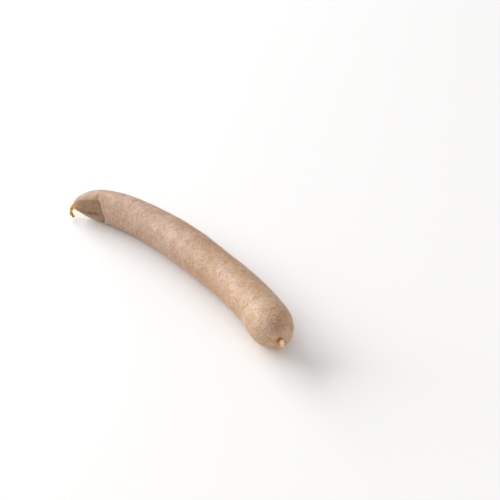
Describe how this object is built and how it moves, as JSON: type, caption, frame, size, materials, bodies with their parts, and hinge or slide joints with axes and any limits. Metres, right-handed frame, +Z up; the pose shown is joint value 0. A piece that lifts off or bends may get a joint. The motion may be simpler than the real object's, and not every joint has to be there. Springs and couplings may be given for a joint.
{
  "type": "sausage",
  "caption": "Pale, gently bowed sausage in a natural casing, lying on its side, with a folded far tip, a twisted dried casing tail and a short casing stub.",
  "frame": {"origin": "on the surface the sausage lies on, under the middle of its box", "axes": "+X along the sausage from the tailed tip to the rounded end, +Y to the outer side of its bend, +Z up"},
  "size_m": [0.239, 0.047, 0.0302],
  "materials": {
    "casing": "satin"
  },
  "bodies": {
    "root": {"sausage": "casing"}
  },
  "joints": []
}
